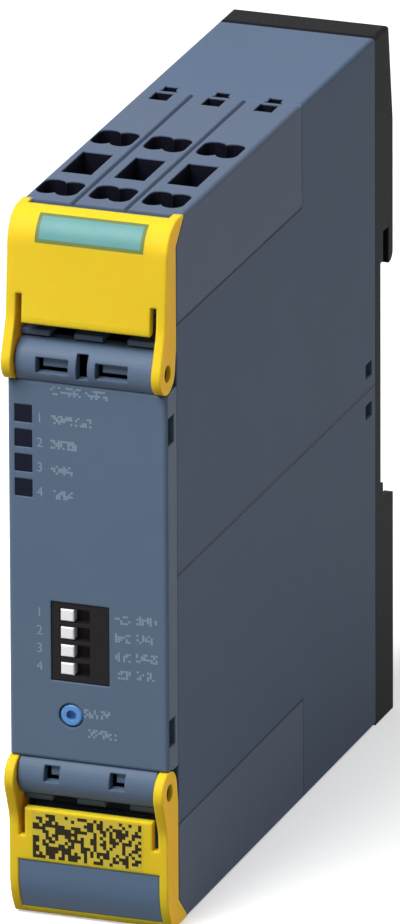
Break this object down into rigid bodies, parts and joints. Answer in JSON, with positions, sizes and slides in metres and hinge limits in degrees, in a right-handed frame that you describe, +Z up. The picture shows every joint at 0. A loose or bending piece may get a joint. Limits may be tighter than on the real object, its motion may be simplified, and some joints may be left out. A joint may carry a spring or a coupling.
{
  "type": "safety relay",
  "caption": "Slim rail-mounted safety relay: blue-grey enclosure on a black rail foot, push-in terminals top and bottom behind hinged yellow covers, slide switch, reset button and lights.",
  "frame": {"origin": "centre of the footprint at the level of the underside", "axes": "+X across the relay to the right seen from the front, +Y back towards the mounting rail, +Z up"},
  "size_m": [0.0226, 0.0938, 0.1],
  "materials": {
    "grey_front": "fine moulded texture, blue-grey",
    "housing_grey": "fine moulded texture, blue-grey",
    "foot_black": "fine moulded texture, near black",
    "block_grey": "fine moulded texture, blue-grey",
    "cover_yellow": "smooth, warm yellow",
    "plate_grey": "smooth, blue-grey",
    "spring_steel": "bright spring steel",
    "tinned_copper": "tinned",
    "smoked_window": "smoked clear plastic, reads near black",
    "led_white": "milky lens",
    "switch_black": "black moulded plastic",
    "lever_white": "white moulded plastic",
    "button_blue": "light blue moulded plastic",
    "board_green": "solder-masked laminate",
    "relay_white": "moulded case",
    "ferrite_dark": "ferrite and tape",
    "capacitor_sleeve": "shrink sleeve",
    "chip_black": "moulded chip package"
  },
  "bodies": {
    "upper_cover": {"upper_terminal_cover": "cover_yellow"},
    "lower_cover": {"lower_terminal_cover": "cover_yellow", "marking_plate": "plate_grey"},
    "reset_button": {"reset_button": "button_blue"},
    "rail_latch": {"rail_latch": "foot_black"},
    "dip_lever_1": {"dip_lever_1": "lever_white"},
    "dip_lever_2": {"dip_lever_2": "lever_white"},
    "dip_lever_3": {"dip_lever_3": "lever_white"},
    "dip_lever_4": {"dip_lever_4": "lever_white"},
    "relay_body": {"upper_housing": "housing_grey", "lower_housing": "housing_grey", "rear_base": "foot_black", "latch_spring": "spring_steel", "front_cover": "grey_front", "upper_terminal_block": "block_grey", "lower_terminal_block": "block_grey", "upper_block_floor": "block_grey", "lower_block_floor": "block_grey", "upper_current_bars": "tinned_copper", "lower_current_bars": "tinned_copper", "upper_clamp_springs": "spring_steel", "lower_clamp_springs": "spring_steel", "upper_plug_header": "switch_black", "lower_plug_header": "switch_black", "upper_plug_pins": "tinned_copper", "lower_plug_pins": "tinned_copper", "light_guides": "smoked_window", "status_leds": "led_white", "dip_switch": "switch_black", "reset_switch": "switch_black", "main_board": "board_green", "front_board": "board_green", "board_connector": "switch_black", "output_relay_1": "relay_white", "output_relay_2": "relay_white", "power_transformer": "ferrite_dark", "filter_capacitor": "capacitor_sleeve", "controller_chips": "chip_black", "optocouplers": "chip_black"}
  },
  "joints": [
    {"name": "upper_cover_hinge", "type": "hinge", "parent": "relay_body", "child": "upper_cover", "pos_m": [0, -0.044, 0.0797], "axis": [1, 0, 0], "range_deg": [0, 110]},
    {"name": "lower_cover_hinge", "type": "hinge", "parent": "relay_body", "child": "lower_cover", "pos_m": [0, -0.044, 0.0203], "axis": [-1, 0, 0], "range_deg": [0, 110]},
    {"name": "reset_button_press", "type": "slide", "parent": "relay_body", "child": "reset_button", "axis": [0, 1, 0], "range_m": [0, 0.0006], "stiffness_N_per_m": 800, "springref_m": -0.0006},
    {"name": "rail_latch_slide", "type": "slide", "parent": "relay_body", "child": "rail_latch", "axis": [0, 0, -1], "range_m": [0, 0.0025], "stiffness_N_per_m": 1500, "springref_m": -0.002, "deforming": ["latch_spring"]},
    {"name": "dip_lever_1_slide", "type": "slide", "parent": "relay_body", "child": "dip_lever_1", "axis": [1, 0, 0], "range_m": [0, 0.0021]},
    {"name": "dip_lever_2_slide", "type": "slide", "parent": "relay_body", "child": "dip_lever_2", "axis": [1, 0, 0], "range_m": [0, 0.0021]},
    {"name": "dip_lever_3_slide", "type": "slide", "parent": "relay_body", "child": "dip_lever_3", "axis": [1, 0, 0], "range_m": [0, 0.0021]},
    {"name": "dip_lever_4_slide", "type": "slide", "parent": "relay_body", "child": "dip_lever_4", "axis": [1, 0, 0], "range_m": [0, 0.0021]}
  ]
}
